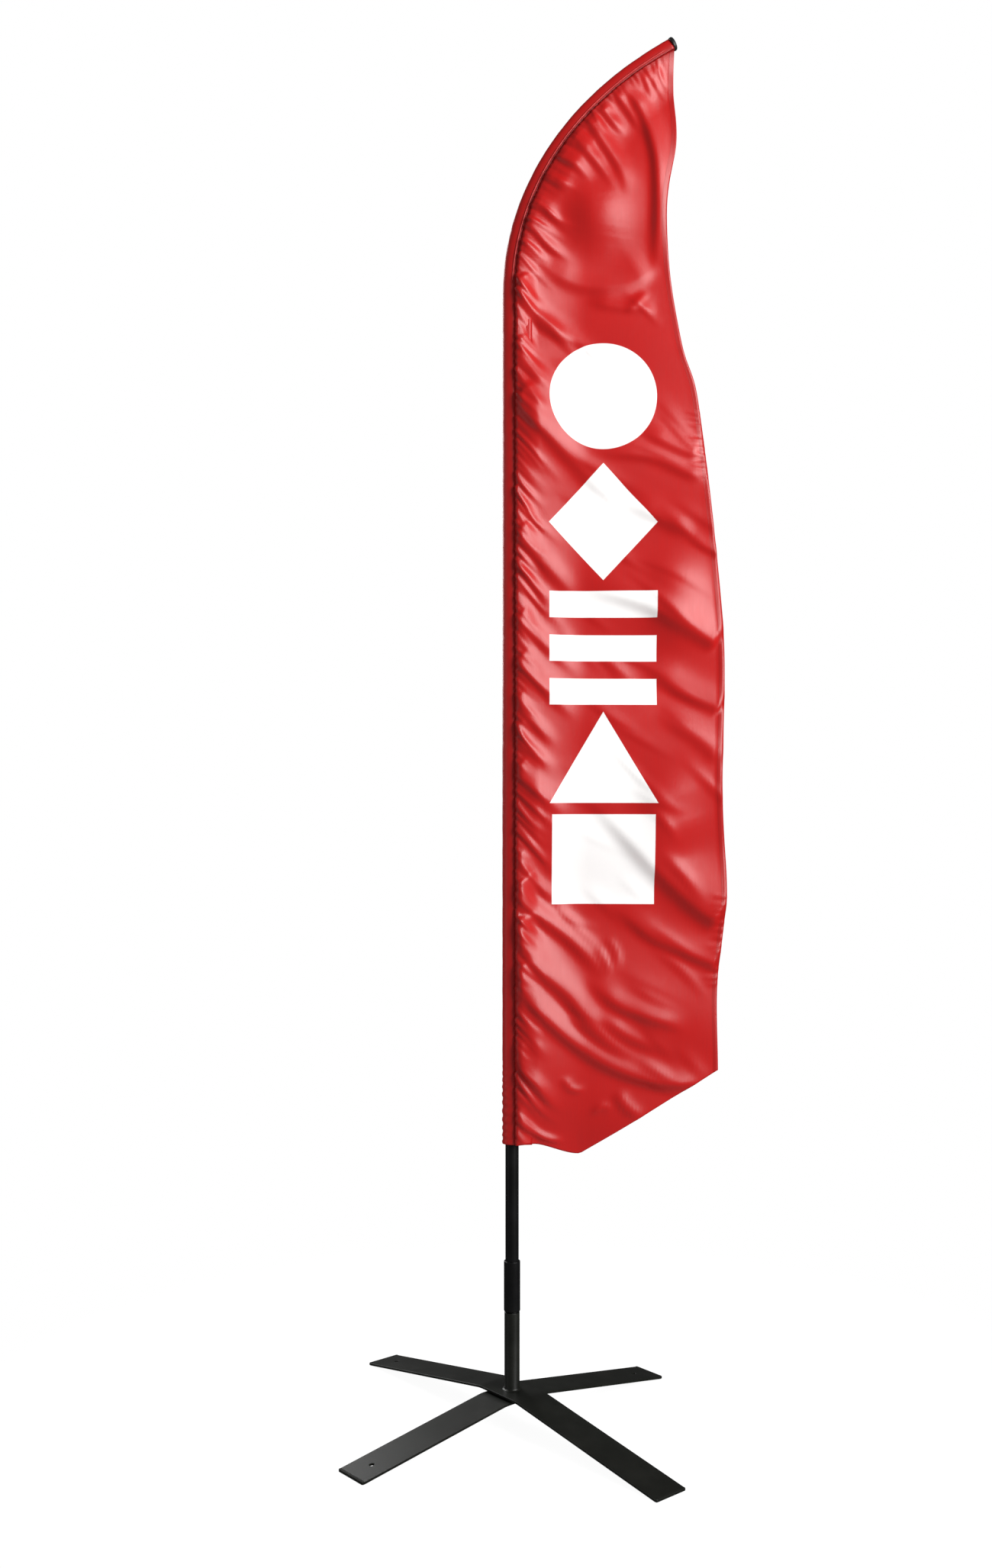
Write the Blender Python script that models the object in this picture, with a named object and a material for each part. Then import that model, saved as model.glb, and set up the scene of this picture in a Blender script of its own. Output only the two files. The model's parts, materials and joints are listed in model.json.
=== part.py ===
"""Feather flag on a jointed pole, turning on a bearing spindle above a folding cross base.

Metres, +Z up, floor at z = 0. The flag lies in the XZ plane, to the +X side of its pole.
Every piece is modelled around the pole axis; an empty then carries the assembly to its place,
so that the middle of the overall box is at the origin.
"""

import bpy
import bmesh
from math import asin, atan2, cos, pi, radians, sin
from mathutils import Matrix, Vector

# Driving dimensions
gap = 0.0003                     # clearance left between faces that touch
roundSides = 24                  # sides of an ordinary turned piece

barWidth = 0.078                 # flat steel of the cross base
barThickness = 0.005
upperReach = 0.440               # pole axis to leg tip
lowerReach = 0.400
upperFlatHalf = 0.056            # half length of the raised flat middle of each bar
lowerFlatHalf = 0.048
upperUnderside = 0.062           # height of the underside of that middle
lowerUnderside = 0.054
footLength = 0.006               # flat at each tip that rests on the floor
upperYaw = radians(-49.5)        # plan angles of the two bars
lowerYaw = radians(40.5)
cornerRadius = 0.003
pegRadius = 0.005
pegInset = 0.050                 # peg hole to leg tip

pivotRadius = 0.0059             # shank of the pivot bolt
pivotHole = 0.0065               # its hole in both bars
boltTop = 0.088
boltHead = 0.0075                # height of its head
boltFlats = 0.018                # across the flats of its head
washerThickness = 0.0025
washerRadii = (0.0064, 0.0120)   # inner and outer, here and below
pivotSpacerRadii = (0.0064, 0.0150)
plugRadii = (0.0063, 0.0107)
plugTop = 0.092
bearingSpacerRadii = (0.0112, 0.0126)
postClipRadii = (0.0112, 0.0134)
shaftClipRadii = (0.0046, 0.0076)
postRadius = 0.0155
postTop = 0.2225
bearingSeat = 0.1497             # shoulder that the lower bearing stands on
bearingBore = 0.0130
bearingWidth = 0.008
bearingPitch = 0.009             # radius of the circle that the balls run on
ballRadius = 0.0022
ballCount = 7
shaftRadius = 0.005
stemRadius = 0.0114              # stem that the pole drops over
stemTop = 0.336

poleFoot = 0.2250
sleeveTop = 0.3265               # top of the coupler around the pole's foot
couplerRadius = 0.0165
tubeRadii = (0.0135, 0.0118, 0.0102)
tubeWall = 0.0013
tubeTops = (1.020, 1.700, 2.150)
tubeOverlap = 0.080              # each tube stands this deep in the one below
tipRadii = (0.0086, 0.0042)      # solid tip rod, at its foot and at its end

pocketFoot = 0.564               # lower edge of the sleeve that takes the pole
pocketEdge = -0.0195             # outer edge of the sleeve, from the pole axis
pocketRadii = (0.0175, 0.0130)
pocketWall = 0.0006
bendStart = 2.280                # height where the pole starts to bend over
bendLength = 0.650
bendAngle = radians(60.0)
bendEase = 1.2

panelThickness = 0.003
freeEdge = [                     # outer edge of the flag, from the tip down to its lowest corner
    (0.327, 2.776), (0.327, 2.690), (0.332, 2.590), (0.312, 2.440), (0.342, 2.195),
    (0.376, 2.075), (0.404, 1.843), (0.432, 1.560), (0.424, 1.300), (0.435, 1.080),
    (0.416, 0.880), (0.417, 0.713),
]
lowCorner = (0.138, 0.543)
lowEdge = (0.053, 0.564)


# Helpers
def material(name, colour, roughness, metallic=0.0):
    made = bpy.data.materials.new(name)
    made.use_nodes = True
    shader = made.node_tree.nodes["Principled BSDF"]
    shader.inputs["Base Color"].default_value = (*colour, 1.0)
    shader.inputs["Roughness"].default_value = roughness
    shader.inputs["Metallic"].default_value = metallic
    return made


def addObject(name, mesh, finish, smooth=30.0):
    """Put a closed bmesh into the scene as one named object, its faces pointing out."""
    bmesh.ops.remove_doubles(mesh, verts=mesh.verts, dist=1e-6)
    bmesh.ops.recalc_face_normals(mesh, faces=mesh.faces)
    if mesh.calc_volume(signed=True) < 0:
        bmesh.ops.reverse_faces(mesh, faces=mesh.faces)
    data = bpy.data.meshes.new(name)
    mesh.to_mesh(data)
    mesh.free()
    data.materials.append(finish)
    data.shade_smooth()
    data.set_sharp_from_angle(angle=radians(smooth))
    made = bpy.data.objects.new(name, data)
    bpy.context.scene.collection.objects.link(made)
    return made


def turned(name, profile, finish, sides=roundSides):
    """Spin (radius, height) points once around Z; a profile that starts on the axis stays open there."""
    mesh = bmesh.new()
    verts = [mesh.verts.new((radius, 0.0, height)) for radius, height in profile]
    first = 1 if profile[0][0] == 0.0 else 0
    edges = [mesh.edges.new((verts[i - 1], verts[i])) for i in range(first, len(verts))]
    bmesh.ops.spin(mesh, geom=verts + edges, cent=(0, 0, 0), axis=(0, 0, 1),
                   angle=2.0 * pi, steps=sides, use_merge=True)
    return addObject(name, mesh, finish)


def ringProfile(inner, outer, low, high, chamfer=0.0):
    """A plain ring; its outer corners are chamfered."""
    if chamfer == 0.0:
        return [(inner, low), (outer, low), (outer, high), (inner, high)]
    return [(inner, low), (outer - chamfer, low), (outer, low + chamfer),
            (outer, high - chamfer), (outer - chamfer, high), (inner, high)]


def addRod(mesh, radius, depth, place, sides):
    """A closed cylinder along Z, centred and turned by a matrix."""
    bmesh.ops.create_cone(mesh, cap_ends=True, segments=sides, radius1=radius, radius2=radius,
                          depth=depth, matrix=place)


def combine(target, other, operation):
    """Cut an object with another, or join the two; the other stays behind as a hidden guide."""
    other.hide_render = True
    other.display_type = "WIRE"
    boolean = target.modifiers.new(operation.lower(), "BOOLEAN")
    boolean.operation = operation
    boolean.object = other


def joinRings(mesh, rings):
    """Skin a row of rings with the same number of corners, and cap both ends."""
    for low, high in zip(rings, rings[1:]):
        for k in range(len(low)):
            mesh.faces.new((low[k - 1], low[k], high[k], high[k - 1]))
    mesh.faces.new(rings[0][::-1])
    mesh.faces.new(rings[-1])


def extruded(mesh, outline, low, high, flat):
    """Close an outline into a plate between two levels; flat(u, v, level) gives each point."""
    first = [mesh.verts.new(flat(u, v, low)) for u, v in outline]
    second = [mesh.verts.new(flat(u, v, high)) for u, v in outline]
    mesh.faces.new(first)
    mesh.faces.new(second)
    for i in range(len(outline)):
        mesh.faces.new((first[i - 1], first[i], second[i], second[i - 1]))


def throughPoints(points, steps):
    """A Catmull-Rom curve through the points, with the given steps along each stretch."""
    ends = [points[0], *points, points[-1]]
    curve = []
    for i in range(1, len(ends) - 2):
        a, b, c, d = (Vector(p) for p in ends[i - 1:i + 3])
        for k in range(steps):
            t = k / steps
            curve.append(0.5 * (2 * b + (c - a) * t + (2 * a - 5 * b + 4 * c - d) * t ** 2
                                + (3 * b - a - 3 * c + d) * t ** 3))
    curve.append(Vector(points[-1]))
    return curve


# The line of the luff
def luffAngle(distance):
    """Lean of the sleeve from upright, at a distance along its outer edge past the bend."""
    along = min(max(distance / bendLength, 0.0), 1.0)
    return bendAngle * (1.0 - (1.0 - along) ** bendEase)


def luffPoints(steps):
    """(point, tangent, inward normal, share) along the bend of the sleeve's outer edge."""
    fine = 40
    step = bendLength / (steps * fine)
    point = Vector((pocketEdge, bendStart))
    rows = []
    for i in range(steps * fine + 1):
        lean = luffAngle(i * step)
        if i % fine == 0:
            tangent = Vector((sin(lean), cos(lean)))
            rows.append((point.copy(), tangent, Vector((cos(lean), -sin(lean))), i / (steps * fine)))
        middle = luffAngle((i + 0.5) * step)
        point = point + step * Vector((sin(middle), cos(middle)))
    return rows


def luffRows(steps):
    """(outer edge point, inward normal, sleeve radius) from the foot to the tip."""
    straight = [(Vector((pocketEdge, pocketFoot)), Vector((1, 0)), pocketRadii[0])]
    bent = [(point, normal, pocketRadii[0] + (pocketRadii[1] - pocketRadii[0]) * share)
            for point, tangent, normal, share in luffPoints(steps)]
    return straight + bent


# Cross base
def barStations(reach, flatHalf, underside):
    """Underside of a bent bar, tip to tip: flat feet, straight sloping legs, raised middle."""
    ease = 0.006
    drop = underside / (reach - footLength - flatHalf)
    right = [(flatHalf - ease, underside), (flatHalf, underside - 0.25 * ease * drop),
             (flatHalf + ease, underside - ease * drop), (reach - footLength, 0.0), (reach, 0.0)]
    return [(-x, z) for x, z in right[::-1]] + right


def sideReach(reach, yaw):
    """How far a bar with rounded corners reaches along X from the pole axis."""
    square = (reach - cornerRadius) * abs(cos(yaw)) + (barWidth / 2 - cornerRadius) * abs(sin(yaw))
    return square + cornerRadius


def crossBar(name, reach, flatHalf, underside, yaw, pegSides, finish):
    """One bent bar of the base, with its pivot hole and its peg holes."""
    half = barWidth / 2
    mesh = bmesh.new()
    rings = [[mesh.verts.new((x, y, z + rise)) for y, rise in
              ((-half, 0.0), (half, 0.0), (half, barThickness), (-half, barThickness))]
             for x, z in barStations(reach, flatHalf, underside)]
    joinRings(mesh, rings)
    corners = [edge for ring in (rings[0], rings[-1]) for edge in ring[0].link_edges
               if edge.other_vert(ring[0]) is ring[3]]
    corners += [edge for ring in (rings[0], rings[-1]) for edge in ring[1].link_edges
                if edge.other_vert(ring[1]) is ring[2]]
    bmesh.ops.bevel(mesh, geom=corners, offset=cornerRadius, segments=2, affect="EDGES", profile=0.5)
    bar = addObject(name, mesh, finish)
    bar.rotation_euler = (0, 0, yaw)

    slope = atan2(underside, reach - footLength - flatHalf)
    holes = bmesh.new()
    middle = Matrix.Translation((0, 0, underside + barThickness / 2))
    addRod(holes, pivotHole, 3 * barThickness, middle, 20)
    for side in pegSides:
        distance = reach - pegInset
        height = (reach - footLength - distance) * underside / (reach - footLength - flatHalf)
        turn = Matrix.Rotation(side * slope, 4, "Y")
        place = Matrix.Translation((side * distance, 0, height + barThickness / 2)) @ turn
        addRod(holes, pegRadius, 4 * barThickness, place, 16)
    cutter = addObject(name + ".holes", holes, finish)
    cutter.rotation_euler = (0, 0, yaw)
    combine(bar, cutter, "DIFFERENCE")
    return bar, cutter


def roundRing(mesh, radius, height, sides):
    turns = [2 * pi * i / sides for i in range(sides)]
    return [mesh.verts.new((radius * cos(turn), radius * sin(turn), height)) for turn in turns]


def pivotBolt(finish):
    """Hexagon bolt from below, through both bars and into the plug in the post's foot."""
    under = lowerUnderside - gap - washerThickness - gap
    corner = boltFlats / 2 / cos(pi / 6)
    sides = 12
    mesh = bmesh.new()
    low, rim = (roundRing(mesh, corner, height, sides // 2) for height in (under - boltHead, under))
    neck, top = (roundRing(mesh, pivotRadius, height, sides) for height in (under, boltTop))
    mesh.faces.new(low[::-1])
    mesh.faces.new(top)
    for i in range(sides // 2):
        mesh.faces.new((low[i - 1], low[i], rim[i], rim[i - 1]))
        mesh.faces.new((rim[i - 1], rim[i], neck[2 * i], neck[2 * i - 1], neck[2 * i - 2]))
    for i in range(sides):
        mesh.faces.new((neck[i - 1], neck[i], top[i], top[i - 1]))
    return addObject("pivot_bolt", mesh, finish)


def basePost(finish):
    """Tube welded to the upper bar, bored for the bearings, with a shoulder and a clip groove."""
    foot = upperUnderside + barThickness + gap
    weld = 0.004
    lowerBore = 0.0110
    groove = 0.0137
    chamfer = 0.0006
    profile = [(lowerBore, foot), (postRadius + weld, foot), (postRadius + 0.0012, foot + 0.0016),
               (postRadius, foot + weld), (postRadius, postTop - chamfer), (postRadius - chamfer, postTop),
               (bearingBore, postTop), (bearingBore, clipLow + clipGroove), (groove, clipLow + clipGroove),
               (groove, clipLow), (bearingBore, clipLow), (bearingBore, bearingSeat),
               (lowerBore, bearingSeat)]
    return turned("base_post", profile, finish, 28)


# Bearings
lowerBearing = bearingSeat + gap
upperBearing = 0.2066
clipLow = upperBearing + bearingWidth + gap
clipGroove = 0.0016
innerRace = 0.0074
outerRace = 0.0107
cageHalf = 0.0007


def grooved(edgeRadius, low, inward):
    """Points down the wall of a race, with a round groove that clears the balls."""
    middle = low + bearingWidth / 2
    track = ballRadius + gap
    depth = abs(edgeRadius - bearingPitch)
    reach = (track ** 2 - depth ** 2) ** 0.5
    spread = asin(reach / track)
    sign = -1.0 if inward else 1.0
    points = []
    for k in range(5):
        turn = spread * (1 - k / 2)
        points.append((bearingPitch + sign * track * cos(turn), middle + track * sin(turn)))
    return points


def bearing(place, low, steel):
    """Two grooved rings, and the balls clasped by a thin cage between them."""
    high = low + bearingWidth
    middle = low + bearingWidth / 2
    inner = turned(place + "_bearing_inner_ring",
                   [(shaftRadius + gap, low), (innerRace, low), *grooved(innerRace, low, True)[::-1],
                    (innerRace, high), (shaftRadius + gap, high)], steel, 20)
    outer = turned(place + "_bearing_outer_ring",
                   [(bearingBore - 0.0004, low), (bearingBore - 0.0004, high), (outerRace, high),
                    *grooved(outerRace, low, False), (outerRace, low)], steel, 20)
    cage = turned(place + "_ball_cage", ringProfile(bearingPitch - cageHalf, bearingPitch + cageHalf,
                                                    middle - cageHalf, middle + cageHalf), steel, 21)
    balls = bmesh.new()
    for i in range(ballCount):
        turn = 2 * pi * i / ballCount
        seat = Matrix.Translation((bearingPitch * cos(turn), bearingPitch * sin(turn), middle))
        bmesh.ops.create_icosphere(balls, subdivisions=1, radius=ballRadius, matrix=seat)
    guide = addObject(place + "_balls.guide", balls, steel)
    combine(cage, guide, "UNION")
    return inner, outer, cage, guide


def openClip(name, inner, outer, low, finish, thickness=0.001):
    """A flat retaining ring with a gap between its ends."""
    opening = radians(30)
    steps = 18
    turns = [opening / 2 + (2 * pi - opening) * i / steps for i in range(steps + 1)]
    outline = [(outer * cos(a), outer * sin(a)) for a in turns]
    outline += [(inner * cos(a), inner * sin(a)) for a in turns[::-1]]
    mesh = bmesh.new()
    extruded(mesh, outline, low, low + thickness, lambda u, v, level: (u, v, level))
    return addObject(name, mesh, finish)


# Rotor
spindleFoot = 0.1425
shaftClipLow = 0.1462
shaftClipGroove = 0.0016
ringHeights = (0.246, 0.318)
ringSection = 0.0008
ringGroove = stemRadius - 0.0014


def spindle(finish):
    """Shaft in the two bearings, a collar over the post, and the stem that carries the pole."""
    collarLow = postTop + gap
    collarHigh = poleFoot - gap
    chamfer = 0.0006
    clipDepth = 0.0007
    profile = [(0.0, spindleFoot), (shaftRadius - chamfer, spindleFoot),
               (shaftRadius, spindleFoot + chamfer), (shaftRadius, shaftClipLow),
               (shaftRadius - clipDepth, shaftClipLow),
               (shaftRadius - clipDepth, shaftClipLow + shaftClipGroove),
               (shaftRadius, shaftClipLow + shaftClipGroove), (shaftRadius, collarLow),
               (postRadius - chamfer, collarLow), (postRadius, collarLow + chamfer),
               (postRadius, collarHigh - chamfer), (postRadius - chamfer, collarHigh),
               (stemRadius, collarHigh)]
    for height in ringHeights:
        half = ringSection + 0.0004
        profile += [(stemRadius, height - half), (ringGroove, height - half),
                    (ringGroove, height + half), (stemRadius, height + half)]
    profile += [(stemRadius, stemTop - 0.004), (stemRadius - 0.0025, stemTop), (0.0, stemTop)]
    return turned("spindle", profile, finish)


def oRing(place, height, finish):
    centre = ringGroove + 0.0002 + ringSection
    turns = [2 * pi * k / 6 for k in range(6)]
    section = [(centre + ringSection * cos(turn), height + ringSection * sin(turn)) for turn in turns]
    return turned(place + "_o_ring", section, finish, 20)


# Pole
def poleTubes(finish, stopFinish):
    """Three tubes, each standing on a stop plug inside the one below, as a list of objects."""
    made = []
    low = poleFoot
    for i, radius in enumerate(tubeRadii):
        high = tubeTops[i]
        made.append(turned(f"pole_tube_{i + 1}", ringProfile(radius - tubeWall, radius, low, high), finish))
        stopHigh = high - tubeOverlap - gap
        bore = radius - tubeWall - gap
        made.append(turned(f"joint_stop_{i + 1}", ringProfile(0.0028, bore, stopHigh - 0.012, stopHigh),
                           stopFinish, 20))
        low = high - tubeOverlap
    return made


def rodAlong(rows, sides):
    """Closed round bar through (centre, radius) rows in the XZ plane, as a mesh."""
    mesh = bmesh.new()
    rings = []
    for i, (centre, radius) in enumerate(rows):
        ahead = rows[min(i + 1, len(rows) - 1)][0] - rows[max(i - 1, 0)][0]
        lean = atan2(ahead.x, ahead.y)
        ring = []
        for k in range(sides):
            turn = 2 * pi * k / sides
            across = radius * cos(turn)
            ring.append(mesh.verts.new((centre.x + across * cos(lean), radius * sin(turn),
                                        centre.y - across * sin(lean))))
        rings.append(ring)
    joinRings(mesh, rings)
    return mesh


def tipRod(finish):
    """Solid tapering rod: straight out of the last tube, then bent over along the luff."""
    foot = tubeTops[-1] - tubeOverlap
    rows = []
    spine = [Vector((0.0, foot)), Vector((0.0, tubeTops[-1]))]
    for point, tangent, normal, share in luffPoints(14):
        inset = -pocketEdge + (pocketRadii[1] + pocketEdge) * min(2 * share, 1.0)
        spine.append(point + inset * normal)
    spine[-1] = spine[-1] - 0.002 * luffPoints(14)[-1][1]
    reached = [0.0]
    for a, b in zip(spine, spine[1:]):
        reached.append(reached[-1] + (b - a).length)
    for centre, distance in zip(spine, reached):
        share = distance / reached[-1]
        rows.append((centre, tipRadii[0] + (tipRadii[1] - tipRadii[0]) * share))
    return addObject("pole_tip_rod", rodAlong(rows, 14), finish)


def tipCap(finish):
    """Plastic cap on the rod's end: a socket inside the sleeve and a disc that closes it."""
    point, tangent, normal, share = luffPoints(14)[-1]
    centre = point + pocketRadii[1] * normal
    disc, rim, chamfer = 0.0075, 0.0140, 0.0015
    socket, depth, bore = 0.0070, 0.030, tipRadii[1] + 0.0012
    profile = [(0.0, disc), (rim - chamfer, disc), (rim, disc - chamfer), (rim, gap + chamfer),
               (rim - chamfer, gap), (socket, gap), (socket, -depth), (bore, -depth), (bore, 0.0),
               (0.0, 0.0)]
    cap = turned("tip_cap", profile, finish, 18)
    cap.rotation_euler = (0, bendAngle, 0)
    cap.location = (centre.x, 0, centre.y)
    return cap


# Flag
def flagSleeve(finish):
    """Tube of cloth along the luff, open at the foot and closed at the top by the cap's disc."""
    sides = 16
    mesh = bmesh.new()
    skins = []
    rows = luffRows(13)
    for wall in (0.0, pocketWall):
        rings = []
        for point, normal, radius in rows:
            centre = point + radius * normal
            ring = []
            for k in range(sides):
                turn = 2 * pi * k / sides
                across = (radius - wall) * cos(turn)
                ring.append(mesh.verts.new((centre.x + across * normal.x, (radius - wall) * sin(turn),
                                            centre.y + across * normal.y)))
            rings.append(ring)
        skins.append(rings)
    outer, inner = skins
    for rings in skins:
        for low, high in zip(rings, rings[1:]):
            for k in range(sides):
                mesh.faces.new((low[k - 1], low[k], high[k], high[k - 1]))
    for end in (0, -1):
        for k in range(sides):
            mesh.faces.new((outer[end][k - 1], outer[end][k], inner[end][k], inner[end][k - 1]))
    return addObject("flag_sleeve", mesh, finish)


def flagOutline():
    """The flag's outline: up the seam beside the sleeve, down the free edge, back along the foot."""
    seam = [point + (2 * radius + gap) * normal for point, normal, radius in luffRows(13)]
    edge = throughPoints(freeEdge, 3)
    return seam + edge + [Vector(lowCorner), Vector(lowEdge)]


def flagPanel(finish):
    mesh = bmesh.new()
    half = panelThickness / 2
    extruded(mesh, flagOutline(), -half, half, lambda u, v, level: (u, level, v))
    bmesh.ops.triangulate(mesh, faces=[face for face in mesh.faces if len(face.verts) > 4])
    return addObject("flag_panel", mesh, finish)


# Assembly
def clearScene():
    for old in list(bpy.data.objects):
        bpy.data.objects.remove(old)


def build():
    clearScene()
    coat = material("black_coat", (0.022, 0.023, 0.021), 0.42)
    plated = material("zinc_plated", (0.62, 0.62, 0.60), 0.32, 1.0)
    bearingSteel = material("bearing_steel", (0.56, 0.57, 0.58), 0.18, 1.0)
    nylon = material("nylon", (0.72, 0.71, 0.66), 0.5)
    rubber = material("rubber", (0.02, 0.02, 0.02), 0.7)
    anodised = material("black_anodised", (0.030, 0.030, 0.032), 0.35, 0.6)
    glassFibre = material("glass_fibre", (0.035, 0.035, 0.035), 0.5)
    plastic = material("black_plastic", (0.018, 0.018, 0.018), 0.5)
    cloth = material("red_satin", (0.62, 0.028, 0.020), 0.42)

    reach = max(sideReach(upperReach, upperYaw), sideReach(lowerReach, lowerYaw))
    flagReach = max(point.x for point in flagOutline())
    frame = bpy.data.objects.new("pole_axis", None)
    frame.location = ((reach - flagReach) / 2, 0, 0)
    bpy.context.scene.collection.objects.link(frame)

    upper, upperCutter = crossBar("upper_cross_bar", upperReach, upperFlatHalf, upperUnderside,
                                  upperYaw, (-1,), coat)
    lower, lowerCutter = crossBar("lower_cross_bar", lowerReach, lowerFlatHalf, lowerUnderside,
                                  lowerYaw, (-1, 1), coat)
    washerTop = lowerUnderside - gap
    spacerLow = lowerUnderside + barThickness + gap
    plugLow = upperUnderside + barThickness + gap
    pieces = [
        upper, upperCutter, lower, lowerCutter, pivotBolt(plated),
        turned("bolt_washer", ringProfile(*washerRadii, washerTop - washerThickness, washerTop), plated),
        turned("pivot_spacer", ringProfile(*pivotSpacerRadii, spacerLow, upperUnderside - gap), nylon),
        basePost(coat),
        turned("post_plug", ringProfile(*plugRadii, plugLow, plugTop), plated),
        turned("bearing_spacer", ringProfile(*bearingSpacerRadii, lowerBearing + bearingWidth + gap,
                                             upperBearing - gap), plated),
        openClip("post_circlip", *postClipRadii, clipLow + gap, plated),
        *bearing("lower", lowerBearing, bearingSteel),
        *bearing("upper", upperBearing, bearingSteel),
        spindle(plated),
        openClip("spindle_circlip", *shaftClipRadii, shaftClipLow + gap, plated),
        oRing("lower", ringHeights[0], rubber), oRing("upper", ringHeights[1], rubber),
        turned("coupler_sleeve", ringProfile(tubeRadii[0] + gap, couplerRadius, poleFoot + gap,
                                             sleeveTop, 0.0009), anodised, 28),
        *poleTubes(anodised, nylon),
        tipRod(glassFibre), tipCap(plastic), flagSleeve(cloth), flagPanel(cloth),
    ]
    for piece in pieces:
        piece.parent = frame


build()
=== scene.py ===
import json
from math import cos, pi, radians, sin

import bmesh
import bpy
import numpy as np
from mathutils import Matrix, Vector

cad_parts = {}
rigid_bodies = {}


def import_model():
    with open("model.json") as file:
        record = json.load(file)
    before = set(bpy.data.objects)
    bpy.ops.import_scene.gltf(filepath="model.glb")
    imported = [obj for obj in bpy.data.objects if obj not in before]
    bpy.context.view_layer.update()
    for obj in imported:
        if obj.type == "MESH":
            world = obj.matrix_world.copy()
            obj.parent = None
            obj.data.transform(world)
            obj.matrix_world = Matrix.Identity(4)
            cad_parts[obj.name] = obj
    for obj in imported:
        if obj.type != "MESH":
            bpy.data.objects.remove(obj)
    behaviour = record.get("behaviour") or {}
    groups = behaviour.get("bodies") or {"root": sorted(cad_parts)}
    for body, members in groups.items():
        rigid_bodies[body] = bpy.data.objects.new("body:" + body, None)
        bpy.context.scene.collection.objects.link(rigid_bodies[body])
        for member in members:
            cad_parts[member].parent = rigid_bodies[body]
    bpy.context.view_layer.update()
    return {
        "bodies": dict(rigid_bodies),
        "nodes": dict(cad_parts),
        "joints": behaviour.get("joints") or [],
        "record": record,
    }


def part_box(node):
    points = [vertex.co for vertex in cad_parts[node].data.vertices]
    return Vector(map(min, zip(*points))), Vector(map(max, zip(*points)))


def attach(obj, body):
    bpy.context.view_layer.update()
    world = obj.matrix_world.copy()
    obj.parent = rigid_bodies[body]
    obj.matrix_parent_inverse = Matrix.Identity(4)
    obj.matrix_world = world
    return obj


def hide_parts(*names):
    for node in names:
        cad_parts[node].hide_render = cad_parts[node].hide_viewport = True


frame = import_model()
nodes = frame["nodes"]
tubeLow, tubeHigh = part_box("pole_tube_1")
poleX = (tubeLow.x + tubeHigh.x) / 2
print("frame loaded, pole axis at x =", round(poleX, 4))


# Shader maths
class Signal:
    # wraps one output socket, so that shader maths reads as arithmetic
    def __init__(self, nodes, socket):
        self.nodes = nodes
        self.socket = socket

    def maths(self, operation, *others):
        return self.nodes.maths(operation, self, *others)

    def __add__(self, other):
        return self.maths("ADD", other)

    __radd__ = __add__

    def __sub__(self, other):
        return self.maths("SUBTRACT", other)

    def __rsub__(self, other):
        return self.nodes.maths("SUBTRACT", other, self)

    def __mul__(self, other):
        return self.maths("MULTIPLY", other)

    __rmul__ = __mul__

    def __truediv__(self, other):
        return self.maths("DIVIDE", other)

    def __rtruediv__(self, other):
        return self.nodes.maths("DIVIDE", other, self)

    def __abs__(self):
        return self.maths("ABSOLUTE")


class ShaderNodes:
    # one node tree; every node comes from node(), every Math node from maths()
    def __init__(self, tree):
        self.tree = tree

    def feed(self, socket, value):
        if isinstance(value, Signal):
            self.tree.links.new(value.socket, socket)
        elif socket.type == "RGBA" and len(value) == 3:
            socket.default_value = (*value, 1.0)
        else:
            socket.default_value = value

    def node(self, kind, settings=None, inputs=None, output=0):
        made = self.tree.nodes.new(kind)
        for setting, value in (settings or {}).items():
            setattr(made, setting, value)
        for socket, value in (inputs or {}).items():
            self.feed(made.inputs[socket], value)
        return Signal(self, made.outputs[output])

    def maths(self, operation, *values):
        return self.node("ShaderNodeMath", {"operation": operation}, dict(enumerate(values)))

    def clamped(self, value):
        return self.node("ShaderNodeMath", {"operation": "ADD", "use_clamp": True}, {0: value, 1: 0.0})

    def blend(self, factor, low, high):
        return self.node("ShaderNodeMix", {"data_type": "FLOAT"}, {0: factor, 2: low, 3: high})

    def colour(self, factor, low, high):
        return self.node("ShaderNodeMix", {"data_type": "RGBA"}, {0: factor, 6: low, 7: high}, 2)

    def noise(self, place, scale, detail=2.0, roughness=0.5):
        return self.node("ShaderNodeTexNoise", {},
                         {"Vector": place, "Scale": scale, "Detail": detail, "Roughness": roughness})

    def stretched(self, place, factors):
        return self.node("ShaderNodeMapping", {}, {"Vector": place, "Scale": factors})

    def parts(self, place):
        first = self.node("ShaderNodeSeparateXYZ", {}, {0: place})
        return [Signal(self, socket) for socket in first.socket.node.outputs]

    def objectPlace(self):
        return self.node("ShaderNodeTexCoord", output="Object")

    def clothPlace(self, layer="cloth"):
        return self.node("ShaderNodeUVMap", {"uv_map": layer})

    def bump(self, height, strength, distance):
        return self.node("ShaderNodeBump", {},
                         {"Height": height, "Strength": strength, "Distance": distance})


class Finish(ShaderNodes):
    # a procedural material around one Principled shader
    def __init__(self, name, **constants):
        self.material = bpy.data.materials.new(name)
        self.material.use_nodes = True
        super().__init__(self.material.node_tree)
        self.shader = self.tree.nodes["Principled BSDF"]
        self.give(**constants)

    def give(self, **values):
        for words, value in values.items():
            self.feed(self.shader.inputs[words.replace("_", " ")], value)
        return self.material


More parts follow.
